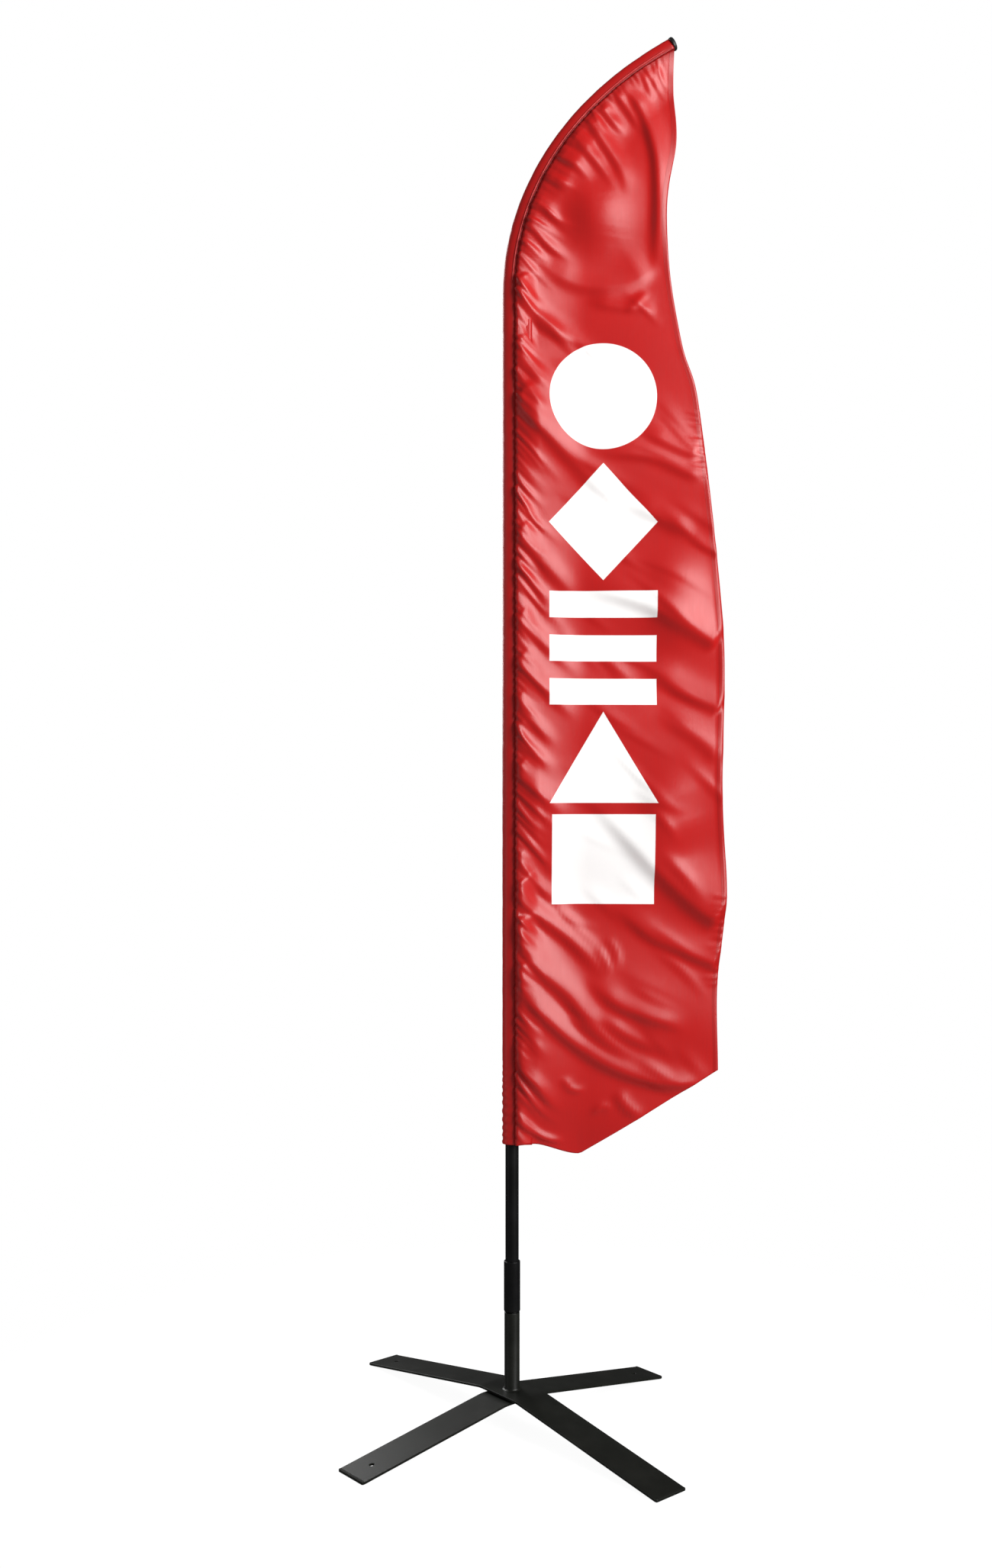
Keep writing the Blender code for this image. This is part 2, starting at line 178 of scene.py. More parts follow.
# Metal, plastic and rubber
coats = {
    # gloss is the specular level; grain, along x y z, and bump are in mm
    "black_coat": dict(colour=(0.0050, 0.0056, 0.0042), worn=(0.0130, 0.0138, 0.0110), roughness=0.40,
                       spread=0.16, metal=0.0, gloss=0.34, grain=(2.6, 2.6, 2.6), bump=0.05),
    "black_anodised": dict(colour=(0.0026, 0.0027, 0.0029), worn=(0.0070, 0.0070, 0.0076), roughness=0.36,
                           spread=0.12, metal=0.0, gloss=0.30, grain=(0.9, 0.9, 40.0), bump=0.012),
    "zinc_plated": dict(colour=(0.60, 0.60, 0.57), worn=(0.44, 0.45, 0.46), roughness=0.30,
                        spread=0.18, metal=1.0, gloss=0.50, grain=(3.0, 3.0, 3.0), bump=0.02),
    "spring_steel": dict(colour=(0.20, 0.19, 0.18), worn=(0.12, 0.115, 0.11), roughness=0.34,
                         spread=0.14, metal=1.0, gloss=0.50, grain=(1.5, 1.5, 1.5), bump=0.01),
    "blackened_steel": dict(colour=(0.030, 0.030, 0.031), worn=(0.060, 0.059, 0.058), roughness=0.34,
                            spread=0.14, metal=1.0, gloss=0.50, grain=(1.5, 1.5, 1.5), bump=0.01),
    "bearing_steel": dict(colour=(0.58, 0.59, 0.60), worn=(0.48, 0.49, 0.50), roughness=0.16,
                          spread=0.10, metal=1.0, gloss=0.50, grain=(5.0, 5.0, 0.4), bump=0.004),
    "nylon": dict(colour=(0.70, 0.69, 0.63), worn=(0.60, 0.59, 0.53), roughness=0.46,
                  spread=0.14, metal=0.0, gloss=0.50, grain=(2.0, 2.0, 2.0), bump=0.03),
    "rubber": dict(colour=(0.017, 0.017, 0.017), worn=(0.034, 0.034, 0.033), roughness=0.72,
                   spread=0.14, metal=0.0, gloss=0.50, grain=(1.2, 1.2, 1.2), bump=0.03),
    "glass_fibre": dict(colour=(0.028, 0.028, 0.030), worn=(0.062, 0.062, 0.060), roughness=0.42,
                        spread=0.16, metal=0.0, gloss=0.50, grain=(0.8, 0.8, 60.0), bump=0.02),
    "black_plastic": dict(colour=(0.010, 0.010, 0.010), worn=(0.022, 0.022, 0.022), roughness=0.40,
                          spread=0.15, metal=0.0, gloss=0.50, grain=(1.1, 1.1, 1.1), bump=0.035),
}
handling = {
    "cloudScale": 14.0,             # broad marks left by hands and packing
    "wornFrom": 0.44,               # cloud level where they start
    "wornSlope": 3.2,
    "wornShare": 0.55,              # how far they go towards the worn colour
    "grainShare": 0.35,
    "bumpStrength": 0.6,
}


def coated(name):
    # fine grain for bump and gloss, broad clouds for handling marks in the colour
    coat = coats[name]
    finish = Finish(name, Metallic=coat["metal"], Specular_IOR_Level=coat["gloss"])
    place = finish.objectPlace()
    fine = finish.noise(finish.stretched(place, tuple(1000 / size for size in coat["grain"])), 1.0, 3.0, 0.6)
    broad = finish.noise(place, handling["cloudScale"], 4.0, 0.62)
    rubbed = finish.clamped((broad - handling["wornFrom"]) * handling["wornSlope"])
    worn = rubbed * handling["wornShare"] + fine * handling["grainShare"]
    gloss = coat["roughness"] + (broad - 0.5) * coat["spread"] + (fine - 0.5) * (0.6 * coat["spread"])
    return finish.give(Base_Color=finish.colour(worn, coat["colour"], coat["worn"]), Roughness=gloss,
                       Normal=finish.bump(fine, handling["bumpStrength"], coat["bump"] / 1000))


finishes = {name: coated(name) for name in coats}
print("metal, plastic and rubber finishes made")


# Satin
satin = {
    "red": (0.455, 0.0052, 0.0044),
    "deepRed": (0.375, 0.0030, 0.0028),
    "shadow": (0.160, 0.0012, 0.0012),
    "white": (0.88, 0.86, 0.85),
    "roughness": 0.35,
    "gloss": 0.46,                  # specular level
    "threadWidth": 0.0011,
    "threadRatio": 1.4,             # weft to warp
    "slub": (0.0028, 0.060),        # streaks along the warp: width, length
    "cloudScale": 9.0,
    "relief": (0.22, 0.00022),      # strength and height of the weave's bump
    "edge": 0.0012,                 # softness of the printed edges
    "seamShade": (0.020, 0.50),     # painted shade beside the seam, where the gathers shade the cloth: reach, strength
    "hemShade": 0.25,
    "hemBlur": 0.0006,
    "stitch": (0.0042, 0.0016, 0.0006),     # length, place inside the hem's edge, half width
    "stitchShade": 0.25,
    # painted shade on the sleeve, at its outer edge where it turns from the light
    # and beside its seam where the panel shades it: middle, reach, strength
    "outerShade": (0.0, 0.006, 0.45),
    "besideShade": (0.031, 0.015, 0.40),
}
shapes = {  # plain printed shapes down the flag: middle across, middle height, half width, half height
    "disc": (0.1845, 2.077, 0.109, 0.109),
    "diamond": (0.1845, 1.8225, 0.110, 0.118),
    "bars": (0.1845, 1.5675, 0.109, 0.115),
    "triangle": (0.1845, 1.3460, 0.109, 0.092),
    "square": (0.1845, 1.1395, 0.104, 0.0915),
}


def printed(finish, across, up):
    # 1 inside the white shapes, 0 outside, from distances in metres
    def inside(distance):
        return finish.clamped(distance / satin["edge"] + 0.5)

    def centred(name):
        x, z, halfWidth, halfHeight = shapes[name]
        return abs(across - x), up - z, halfWidth, halfHeight

    x, z, radius, _ = centred("disc")
    disc = inside(radius - (x * x + z * z).maths("SQRT"))
    x, z, wide, tall = centred("diamond")
    diamond = inside((1 - x / wide - abs(z) / tall) * (0.35 * (wide + tall)))
    x, z, wide, tall = centred("bars")      # three level bars, each 0.6 of its pitch high
    pitch = tall * 2 / 2.6
    fromMiddle = z / pitch - (z / pitch).maths("ROUND")
    frame = (wide - x).maths("MINIMUM", tall - abs(z))
    bars = inside(frame.maths("MINIMUM", (0.30 - abs(fromMiddle)) * pitch))
    x, z, wide, tall = centred("triangle")
    triangle = inside(((tall - z) * (0.5 * wide / tall) - x).maths("MINIMUM", z + tall))
    x, z, wide, tall = centred("square")
    square = inside((wide - x).maths("MINIMUM", tall - abs(z)))
    return finish.clamped(disc + diamond + bars + triangle + square)


def bandShade(finish, distance, rule):
    # full strength at the middle of a band, fading to nothing at its reach
    middle, reach, strength = rule
    return finish.clamped(1 - abs(distance - middle) / reach) * strength


def satinFinish(name, decorated):
    # fine weave, slub streaks along the warp and broad clouds
    # the panel also has its print, painted shade beside the seam and a stitched hem
    finish = Finish(name, Specular_IOR_Level=satin["gloss"])
    place = finish.clothPlace()
    across, up, _ = finish.parts(place)
    pitch = satin["threadWidth"]
    warp = (across * (2 * pi / pitch)).maths("SINE")
    weft = (up * (2 * pi / (pitch * satin["threadRatio"])) + warp * 1.2).maths("SINE")
    slubWidth, slubLength = satin["slub"]
    slub = finish.noise(finish.stretched(place, (1 / slubWidth, 1 / slubLength, 1.0)), 1.0, 3.0, 0.6)
    cloud = finish.noise(place, satin["cloudScale"], 2.0)
    deeper = finish.clamped((slub - 0.5) * 0.9 + (cloud - 0.5) * 0.5 + 0.35)
    colour = finish.colour(deeper, satin["red"], satin["deepRed"])
    height = warp * 0.35 + weft * 0.25 + slub * 1.6
    if decorated:
        colour = finish.colour(printed(finish, across, up), colour, satin["white"])
        fromSeam, fromEdge, _ = finish.parts(finish.clothPlace("edges"))
        # painted shade beside the seam, where the gathers shade the cloth
        reach, strength = satin["seamShade"]
        seamPaintedShade = finish.clamped(1 - fromSeam / reach) * strength
        hem = finish.clamped((flag["hem"] - fromEdge) / satin["hemBlur"]) * satin["hemShade"]
        length, inset, halfWidth = satin["stitch"]
        row = finish.clamped(1 - abs(fromEdge - (flag["hem"] - inset)) / halfWidth)
        stitches = row * finish.clamped((up * (2 * pi / length)).maths("SINE") * 4.0 + 1.5)
        height = height + stitches * 3.0
        shade = seamPaintedShade + hem + stitches * satin["stitchShade"]
    else:
        # painted shade at the sleeve's outer edge and beside its seam
        outer, beside = (bandShade(finish, across, satin[word]) for word in ("outerShade", "besideShade"))
        shade = outer + beside
    colour = finish.colour(finish.clamped(shade), colour, satin["shadow"])
    roughness = satin["roughness"] + (slub - 0.5) * 0.10 + (cloud - 0.5) * 0.05
    return finish.give(Base_Color=colour, Roughness=roughness, Normal=finish.bump(height, *satin["relief"]))


# Grids
def gridPiece(name, points, layers, body, finish, closed=False, ends=False):
    # points is rows x columns x 3, each layer the same grid of two coordinates in metres of cloth
    # closed joins the last column to the first, ends closes both ends of a tube
    rows, columns, _ = points.shape

    def quads(grid):
        return np.stack([grid[:-1, :-1], grid[:-1, 1:], grid[1:, 1:], grid[1:, :-1]], 2)

    index = np.arange(rows * columns).reshape(rows, columns, 1)
    if closed:
        index = np.concatenate([index, index[:, :1]], 1)
    faces = quads(index).reshape(-1, 4).tolist()
    if ends:
        faces += [index[0, :columns, 0][::-1].tolist(), index[-1, :columns, 0].tolist()]
    mesh = bpy.data.meshes.new(name)
    mesh.from_pydata((points + [poleX, 0, 0]).reshape(-1, 3), [], faces)
    for layerName, grid in layers.items():
        if closed:
            beyond = grid[:, -1:] + (grid[:, -1:] - grid[:, -2:-1])
            grid = np.concatenate([grid, beyond], 1)
        values = quads(grid).reshape(-1, 2)
        if ends:
            values = np.concatenate([values, grid[0, :columns][::-1], grid[-1, :columns]])
        mesh.uv_layers.new(name=layerName).data.foreach_set("uv", values.astype(np.float32).ravel())
    mesh.shade_smooth()
    mesh.materials.append(finish)
    piece = bpy.data.objects.new(name, mesh)
    bpy.context.scene.collection.objects.link(piece)
    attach(piece, body)
    return piece


def smoothstep(low, high, value):
    t = np.clip((value - low) / (high - low), 0, 1)
    return t * t * (3 - 2 * t)


def smoothCurve(points, steps):
    # Catmull-Rom through the points
    p = np.asarray(points, float)
    p = np.concatenate([2 * p[:1] - p[1:2], p, 2 * p[-1:] - p[-2:-1]])
    t = np.linspace(0, 1, steps, endpoint=False)[None, :, None]
    a, b, c, d = (p[i:len(p) - 3 + i][:, None, :] for i in range(4))
    square, cube = 2 * a - 5 * b + 4 * c - d, 3 * b - a - 3 * c + d
    curve = 0.5 * (2 * b + (c - a) * t + square * t ** 2 + cube * t ** 3)
    return np.concatenate([curve.reshape(-1, p.shape[1]), p[-2:-1]])


def along(curve, shares):
    # points at these shares of the curve's length
    length = np.concatenate([[0], np.cumsum(np.linalg.norm(np.diff(curve, axis=0), axis=1))])
    return np.stack([np.interp(shares * length[-1], length, curve[:, k]) for k in range(curve.shape[1])], -1)


# Luff: the edge that the pole bends
luff = {
    "foot": 0.564, "edge": -0.0195, "bendStart": 2.280, "bendLength": 0.650,
    "bendAngle": radians(60.0), "bendEase": 1.2,
    "seam": 0.0250,                 # front seam, from the outer edge
    # each pair below holds at the straight part and at the tip
    "crown": (0.0205, 0.0160),      # most forward line, from the outer edge
    "depth": (0.0166, 0.0098),      # half thickness there
    "easeOut": (0.0170, 0.0180),    # half width of the curve that falls to the seam
    "tail": (0.0600, 0.0400),       # where the cloth behind is sewn to the panel, from the outer edge
    "lift": 0.0060,                 # the gathered panel stands this far in front of its seam
    "panelReach": (0.150, 0.090),   # where the panel has come back to the pole's middle plane
}
luffLength = luff["bendStart"] - luff["foot"] + luff["bendLength"]


def luffLine(distance):
    # outer edge: straight up, then leaning by bendAngle (1 - (1 - s)^ease); gives points and inward normals
    fine = np.linspace(0, luffLength, 4001)
    past = np.clip((fine - (luff["bendStart"] - luff["foot"])) / luff["bendLength"], 0, 1)
    lean = luff["bendAngle"] * (1 - (1 - past) ** luff["bendEase"])
    middle = (lean[1:] + lean[:-1]) / 2
    step = fine[1] - fine[0]
    x = luff["edge"] + np.concatenate([[0], np.cumsum(np.sin(middle)) * step])
    z = luff["foot"] + np.concatenate([[0], np.cumsum(np.cos(middle)) * step])
    tilt = np.interp(distance, fine, lean)
    share = np.interp(distance, fine, past)
    point = np.stack([np.interp(distance, fine, x), np.interp(distance, fine, z)], -1)
    return point, np.stack([np.cos(tilt), -np.sin(tilt)], -1), tilt, share


def between(pair, share):
    return pair[0] + (pair[1] - pair[0]) * share


def sleeveFront(inset, share):
    # forward depth of the sleeve between its outer edge and the seam: two quarter ellipses meet at the crown
    crown = between(luff["crown"], share)
    reach = np.where(inset < crown, crown, between(luff["easeOut"], share))
    return between(luff["depth"], share) * np.sqrt(np.clip(1 - ((inset - crown) / reach) ** 2, 0, 1))


def panelFront(past, share):
    # forward depth of the panel at a distance past the seam: level with the seam, then easing back to nothing
    start = sleeveFront(np.full_like(share, luff["seam"]), share)
    lift = luff["lift"] * smoothstep(0, 0.005, past)
    return (start + lift) * (1 - smoothstep(0, 1, past / between(luff["panelReach"], share)))


# Folds
def foldHeight(x, z, fold):
    # ridge along a smooth path: height * profile(distance) * fade at both ends
    # the upper right side is broad, the lower left side narrow
    points, height, upper, lower, fadeIn, fadeOut, *spread = fold
    path = smoothCurve(points, 6)
    reach = 3.0 * max(upper, lower)
    low, high = path.min(0) - reach, path.max(0) + reach
    near = (x > low[0]) & (x < high[0]) & (z > low[1]) & (z < high[1])
    result = np.zeros_like(x)
    if not near.any():
        return result
    place = np.stack([x[near], z[near]], -1)[:, None, :]
    start, step = path[:-1][None], np.diff(path, axis=0)[None]
    length = np.linalg.norm(step[0], axis=1)
    share = np.clip(((place - start) * step).sum(-1) / (length ** 2), 0, 1)
    offset = place - start - share[..., None] * step
    distance = np.linalg.norm(offset, axis=-1)
    best = distance.argmin(1)
    row = np.arange(len(best))
    before = np.concatenate([[0], np.cumsum(length)[:-1]])
    travelled = (before[best] + share[row, best] * length[best]) / length.sum()
    side = step[0, best, 0] * offset[row, best, 1] - step[0, best, 1] * offset[row, best, 0]
    width = np.where(side > 0, upper, lower) * (1 + (spread[0] if spread else 0) * (travelled - 0.4))
    grown = height * smoothstep(-0.001, fadeIn, travelled) * smoothstep(-0.001, fadeOut, 1 - travelled)
    result[near] = grown * np.exp(-(distance[row, best] / width) ** 2)
    return result


# Flag
flag = {
    "rows": 620,
    "thickness": 0.0006,
    "hem": 0.012,
    "clearance": 0.0008,        # of the panel over the sleeve
    "freeEdge": [(0.417, 0.713), (0.416, 0.880), (0.435, 1.080), (0.424, 1.300), (0.432, 1.560),
                 (0.404, 1.843), (0.376, 2.075), (0.342, 2.195), (0.312, 2.440), (0.332, 2.590),
                 (0.327, 2.690), (0.327, 2.776)],
    "foot": [(0.0055, 0.564), (0.053, 0.564), (0.138, 0.543), (0.417, 0.713)],
    "footBend": (0.200, 0.5806),        # the curve of the lowest corner heads for this point
    "footFade": 0.22,                   # share of the height over which the foot's shape fades out
    "tipFade": 0.05,                    # the same for the folds below the tip
    # columns of the grid: up to where and how far apart, up to where and how many, and those of the hem
    "columns": ((0.060, 0.0030), (0.395, 48), (0.4000, 0.4070, 0.4074, 0.4140, 0.4190)),
    # path, height, upper width, lower width, and the shares of the path over which it fades in and out
    "folds": [
        # the top: long streaks that fall from the curved sleeve
        ([(0.285, 2.745), (0.297, 2.690)], 0.004, 0.014, 0.007, 0.3, 0.6),
        ([(0.262, 2.730), (0.290, 2.670)], 0.004, 0.014, 0.007, 0.3, 0.6),
        ([(0.225, 2.710), (0.267, 2.640), (0.288, 2.570), (0.294, 2.500), (0.295, 2.410), (0.294, 2.320)],
         0.011, 0.026, 0.011, 0.15, 0.3),
        ([(0.205, 2.690), (0.240, 2.645), (0.268, 2.600)], 0.005, 0.012, 0.007, 0.2, 0.5),
        ([(0.175, 2.660), (0.205, 2.625), (0.235, 2.600)], 0.006, 0.014, 0.007, 0.2, 0.5),
        ([(0.145, 2.640), (0.180, 2.590), (0.215, 2.535), (0.240, 2.470)], 0.008, 0.020, 0.010, 0.15, 0.5),
        ([(0.110, 2.615), (0.145, 2.570), (0.180, 2.530), (0.215, 2.480)], 0.007, 0.018, 0.009, 0.15, 0.5),
        ([(0.075, 2.570), (0.120, 2.540), (0.165, 2.500)], 0.007, 0.018, 0.008, 0.15, 0.5),
        ([(0.055, 2.520), (0.090, 2.500), (0.125, 2.480)], 0.005, 0.014, 0.007, 0.15, 0.5),
        ([(0.035, 2.475), (0.065, 2.455), (0.100, 2.420)], 0.005, 0.014, 0.007, 0.15, 0.5),
        ([(0.020, 2.435), (0.050, 2.405), (0.080, 2.375), (0.125, 2.350)], 0.007, 0.016, 0.008, 0.15, 0.5),
        ([(0.010, 2.395), (0.035, 2.370), (0.080, 2.340)], 0.005, 0.012, 0.006, 0.15, 0.5),
        ([(0.150, 2.540), (0.166, 2.440), (0.156, 2.330)], 0.025, 0.068, 0.050, 0.5, 0.5),   # the soft bulge
        # under the bulge
        ([(0.050, 2.345), (0.120, 2.312), (0.180, 2.303), (0.240, 2.312), (0.300, 2.350)],
         0.009, 0.055, 0.016, 0.25, 0.2),
        ([(0.150, 2.275), (0.220, 2.262), (0.300, 2.255)], 0.006, 0.030, 0.012, 0.3, 0.3),
        ([(0.230, 2.245), (0.255, 2.270), (0.280, 2.300)], 0.003, 0.010, 0.006, 0.3, 0.4),
        ([(0.004, 2.315), (0.040, 2.245), (0.100, 2.200), (0.180, 2.180)], 0.009, 0.026, 0.011, 0.05, 0.5),
        ([(0.004, 2.190), (0.035, 2.135), (0.090, 2.075)], 0.006, 0.018, 0.008, 0.05, 0.5),
        ([(0.004, 2.085), (0.060, 2.010), (0.140, 1.930), (0.230, 1.860)], 0.009, 0.030, 0.013, 0.05, 0.6),
        ([(0.250, 2.015), (0.330, 1.975), (0.385, 1.955)], 0.008, 0.030, 0.012, 0.4, 0.15),
        ([(0.150, 1.965), (0.275, 1.955), (0.350, 1.925), (0.395, 1.905)], 0.007, 0.026, 0.012, 0.4, 0.15),
        ([(0.215, 1.865), (0.295, 1.835), (0.370, 1.790)], 0.007, 0.032, 0.014, 0.4, 0.3),
        # the middle
        ([(0.004, 1.805), (0.070, 1.730), (0.150, 1.650)], 0.008, 0.024, 0.010, 0.05, 0.6),
        ([(0.004, 1.740), (0.045, 1.690), (0.100, 1.620)], 0.005, 0.014, 0.007, 0.05, 0.5),
        ([(0.004, 1.630), (0.070, 1.570), (0.150, 1.500)], 0.007, 0.024, 0.010, 0.05, 0.6),
        ([(0.004, 1.545), (0.065, 1.485), (0.140, 1.410)], 0.008, 0.022, 0.010, 0.05, 0.6),
        ([(0.004, 1.470), (0.040, 1.420), (0.095, 1.360)], 0.006, 0.016, 0.008, 0.05, 0.5),
        ([(0.004, 1.415), (0.030, 1.370), (0.090, 1.310)], 0.006, 0.016, 0.008, 0.05, 0.5),
        ([(0.004, 1.330), (0.035, 1.295), (0.110, 1.220)], 0.008, 0.022, 0.010, 0.05, 0.5),
        ([(0.120, 1.690), (0.190, 1.680), (0.275, 1.655), (0.345, 1.615), (0.420, 1.575)],
         0.010, 0.038, 0.015, 0.4, 0.05),
        ([(0.260, 1.545), (0.345, 1.485), (0.425, 1.445)], 0.009, 0.034, 0.014, 0.4, 0.05),
        ([(0.290, 1.440), (0.385, 1.375), (0.425, 1.330)], 0.006, 0.030, 0.014, 0.4, 0.2),
        # the lower part: broad diagonals from the seam to the free edge
        ([(0.130, 1.300), (0.235, 1.185), (0.305, 1.110), (0.375, 1.045), (0.425, 1.010)],
         0.015, 0.070, 0.018, 0.5, 0.05),
        ([(0.190, 1.065), (0.275, 0.990), (0.345, 0.955), (0.420, 0.925)], 0.010, 0.036, 0.012, 0.4, 0.05),
        ([(0.004, 1.150), (0.060, 1.080), (0.120, 1.030)], 0.006, 0.016, 0.008, 0.05, 0.5),
        ([(0.004, 1.095), (0.040, 1.040), (0.115, 0.980), (0.165, 0.930), (0.205, 0.890)],
         0.011, 0.026, 0.012, 0.03, 0.4),
        ([(0.004, 1.025), (0.020, 0.975), (0.060, 0.915), (0.115, 0.865), (0.165, 0.805), (0.260, 0.725)],
         0.012, 0.032, 0.013, 0.03, 0.4),
        ([(0.004, 0.935), (0.025, 0.875), (0.065, 0.825), (0.140, 0.758), (0.220, 0.712), (0.310, 0.688),
          (0.410, 0.690)],
         0.013, 0.030, 0.012, 0.03, 0.15),
        ([(0.004, 0.850), (0.035, 0.800), (0.060, 0.775)], 0.005, 0.014, 0.007, 0.1, 0.5),
        ([(0.150, 0.905), (0.210, 0.848), (0.275, 0.822), (0.360, 0.790)], 0.009, 0.026, 0.010, 0.3, 0.3),
        ([(0.188, 0.985), (0.210, 0.950), (0.214, 0.910)], 0.003, 0.009, 0.006, 0.3, 0.4),
        ([(0.168, 0.965), (0.190, 0.930), (0.198, 0.900)], 0.003, 0.009, 0.006, 0.3, 0.4),
        ([(0.105, 0.835), (0.185, 0.772), (0.260, 0.730)], 0.005, 0.015, 0.008, 0.3, 0.5),
        ([(0.175, 0.830), (0.235, 0.780), (0.320, 0.745)], 0.006, 0.018, 0.009, 0.3, 0.5),
        # broad slopes that face the light beside the free edge
        ([(0.310, 1.800), (0.338, 1.660), (0.350, 1.520)], 0.015, 0.062, 0.055, 0.4, 0.4),
        ([(0.280, 1.340), (0.318, 1.220), (0.350, 1.130)], 0.019, 0.075, 0.050, 0.4, 0.4),
        # the lowest corner
        ([(0.004, 0.780), (0.025, 0.720), (0.060, 0.675), (0.095, 0.620)], 0.007, 0.016, 0.008, 0.1, 0.4),
        ([(0.100, 0.705), (0.120, 0.675), (0.155, 0.672)], 0.004, 0.010, 0.007, 0.3, 0.4),
        ([(0.165, 0.620), (0.180, 0.640), (0.205, 0.628)], 0.004, 0.008, 0.007, 0.3, 0.4),
        ([(0.205, 0.675), (0.230, 0.638), (0.270, 0.610)], 0.006, 0.016, 0.008, 0.3, 0.4),
        ([(0.004, 0.635), (0.028, 0.602), (0.065, 0.577), (0.110, 0.566)], 0.006, 0.010, 0.006, 0.05, 0.3),
    ],
    "swell": [(0.009, 0.62, 0.20, 0.3), (0.006, 0.41, -0.35, 1.9), (0.0035, 0.27, 0.45, 4.0)],
    # small folds that start at the stitching; hang and lean are their slopes in degrees, the second
    # past the sleeve's own where that curves
    "puckers": dict(spacing=(0.0120, 0.0190), height=(0.0024, 0.0044), length=(0.060, 0.150),
                    upper=(0.0052, 0.0085), lower=(0.0027, 0.0042), hang=(39, 51), lean=(-4, 10),
                    sag=(-0.02, 0.10), bigShare=0.30),
    # the same along the hem, in these spans of height
    "hemPuckers": dict(spans=[(2.040, 1.905), (1.065, 0.950), (0.915, 0.872)], spacing=(0.010, 0.018),
                       length=(0.022, 0.045), height=(0.0014, 0.0026), upper=(0.004, 0.006),
                       lower=(0.0025, 0.004)),
    # soft slack folds all over the panel
    "slack": dict(count=54, low=0.700, high=2.300, across=(0.040, 0.340), droop=(22, 50),
                  length=(0.10, 0.24), height=(0.0012, 0.0034), upper=(0.010, 0.019),
                  lower=(0.0050, 0.0085)),
}


def columnShares():
    # from the seam to the free edge, close together at both
    (nearEnd, step), (farEnd, count), hem = flag["columns"]
    widths = np.concatenate([np.arange(0, nearEnd, step), np.linspace(nearEnd, farEnd, count), hem])
    return widths / widths[-1]


def seamPuckers():
    # about one in three is larger; where the sleeve curves they are shorter, closer and turned with it
    rng = np.random.default_rng(41)
    rule = flag["puckers"]
    folds = []
    s = 0.012
    while s < luffLength - 0.015:
        point, inward, tilt, share = luffLine(np.array([s]))
        curved = float(smoothstep(0.0, 0.45, share[0]))
        start = point[0] + (luff["seam"] - 0.0015) * inward[0]
        hang = radians(rng.uniform(*rule["hang"]))
        lean = float(tilt[0]) + radians(rng.uniform(*rule["lean"]))
        droop = hang * (1 - curved) + lean * curved
        length = rng.uniform(*rule["length"]) * (1 - 0.45 * curved)
        big = rng.random() < rule["bigShare"]
        length *= 1.3 if big else 0.8
        heading = np.array([cos(droop), -sin(droop)])
        sag = np.array([-heading[1], heading[0]]) * length * rng.uniform(*rule["sag"])
        path = [start, start + 0.5 * length * heading - sag, start + length * heading]
        height = rng.uniform(*rule["height"]) * (1.25 if big else 0.85) * (1 - 0.25 * curved)
        upper = rng.uniform(*rule["upper"]) * (1.2 if big else 1)
        lower = rng.uniform(*rule["lower"])
        folds.append((path, height, upper, lower, 0.02, 0.85, 0.9))
        s += rng.uniform(*rule["spacing"]) * (1 - 0.25 * curved)
    return folds


def slackFolds():
    # long shallow folds that drift down to the right, one in each band of height
    rng = np.random.default_rng(23)
    rule = flag["slack"]
    folds = []
    for z in np.linspace(rule["low"], rule["high"], rule["count"]):
        start = np.array([rng.uniform(*rule["across"]), z + rng.uniform(-0.02, 0.02)])
        droop, length = radians(rng.uniform(*rule["droop"])), rng.uniform(*rule["length"])
        step = length / 2 * np.array([cos(droop), -sin(droop)])
        bow = 0.12 * np.array([step[1], -step[0]]) * rng.uniform(-1, 1)
        height, upper, lower = (rng.uniform(*rule[word]) for word in ("height", "upper", "lower"))
        folds.append(([start, start + step + bow, start + 2 * step], height, upper, lower, 0.45, 0.55))
    return folds


def hemPuckers(edge):
    # short and nearly level, from the free edge inwards
    rng = np.random.default_rng(7)
    rule = flag["hemPuckers"]
    folds = []
    for z, low in rule["spans"]:
        while z > low:
            x = float(np.interp(z, edge[:, 1], edge[:, 0]))
            length = rng.uniform(*rule["length"])
            middle = (x - 0.5 * length, z + rng.uniform(-0.002, 0.005))
            inner = (x - length, z + rng.uniform(0.0, 0.010))
            height, upper, lower = (rng.uniform(*rule[word]) for word in ("height", "upper", "lower"))
            folds.append(([(x + 0.001, z), middle, inner], height, upper, lower, 0.05, 0.8))
            z -= rng.uniform(*rule["spacing"])
    return folds


def panelGrid(v, seam, edge):
    # flat cloth in the x z plane, columns from the seam to the free edge
    w = columnShares()[None, :, None]
    flat = seam[:, None] * (1 - w) + edge[:, None] * w
    # the foot runs level, dips to the lowest corner and slants up: its offset fades out upwards
    corner = smoothCurve(flag["foot"][:3] + [flag["footBend"]], 10)[:-10]
    foot = np.concatenate([corner, flag["foot"][2:]])
    footLine = np.stack([np.interp(flat[0, :, 0], foot[:, 0], foot[:, k]) for k in range(2)], -1)
    return flat + (footLine - flat[0])[None] * (1 - smoothstep(0, flag["footFade"], v))[:, None, None]


def flatArea(flat):
    # shoelace sum of the cells
    a, b, c, d = flat[:-1, :-1], flat[:-1, 1:], flat[1:, 1:], flat[1:, :-1]
    return float(abs(((a - c)[..., 0] * (b - d)[..., 1] - (a - c)[..., 1] * (b - d)[..., 0])).sum() / 2)


